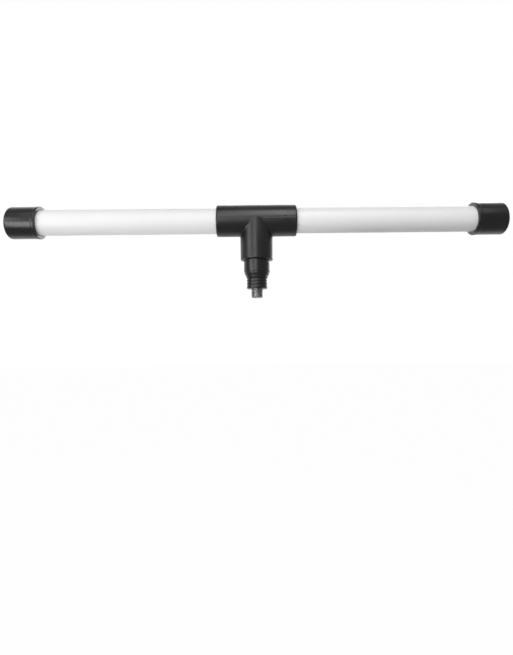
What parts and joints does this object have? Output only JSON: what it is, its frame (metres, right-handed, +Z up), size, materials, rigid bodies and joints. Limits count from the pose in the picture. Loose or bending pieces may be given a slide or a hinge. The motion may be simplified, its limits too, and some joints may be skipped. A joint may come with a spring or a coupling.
{
  "type": "tv antenna",
  "caption": "Straight indoor dipole: two white arm tubes with black end caps on a black tee, and a threaded coaxial jack under its stem.",
  "frame": {"origin": "on the stem's axis, at the lower face of the ribbed spigot, where the jack's barrel comes out", "axes": "+X along the arms to the viewer's right, +Z up from the jack to the tee, -Y towards the viewer"},
  "size_m": [0.409, 0.0276, 0.0778],
  "materials": {
    "tube_white": "satin extruded plastic pipe",
    "cap_black": "smooth moulded cap, soft gloss",
    "tee_black": "moulded plastic, satin with a fine grain",
    "adapter_black": "moulded plastic, satin",
    "jack_metal": "nickel plate over brass",
    "insulator": "natural plastic",
    "contact_metal": "bright",
    "spring_steel": "bright rolled",
    "board": "lacquered glass-fibre board",
    "ferrite": "dull sintered",
    "winding_wire": "enamelled copper",
    "chip": "dull",
    "lead_insulation": "wire insulation",
    "ferrule_metal": "drawn",
    "rod_metal": "drawn rod",
    "spacer": "natural plastic"
  },
  "bodies": {
    "root": {"left_tube": "tube_white", "right_tube": "tube_white", "left_end_cap": "cap_black", "right_end_cap": "cap_black", "tee_upper_shell": "tee_black", "tee_lower_shell": "tee_black", "stem_adapter": "adapter_black", "connector_shell": "jack_metal", "connector_insulator": "insulator", "connector_contact": "contact_metal", "retaining_ring": "spring_steel", "balun_board": "board", "balun_core": "ferrite", "line_winding": "winding_wire", "antenna_winding": "winding_wire", "coupling_capacitor": "chip", "left_lead": "lead_insulation", "right_lead": "lead_insulation", "left_ferrule": "ferrule_metal", "right_ferrule": "ferrule_metal", "left_element": "rod_metal", "right_element": "rod_metal", "left_inner_spacer": "spacer", "right_inner_spacer": "spacer", "left_outer_spacer": "spacer", "right_outer_spacer": "spacer"}
  },
  "joints": []
}
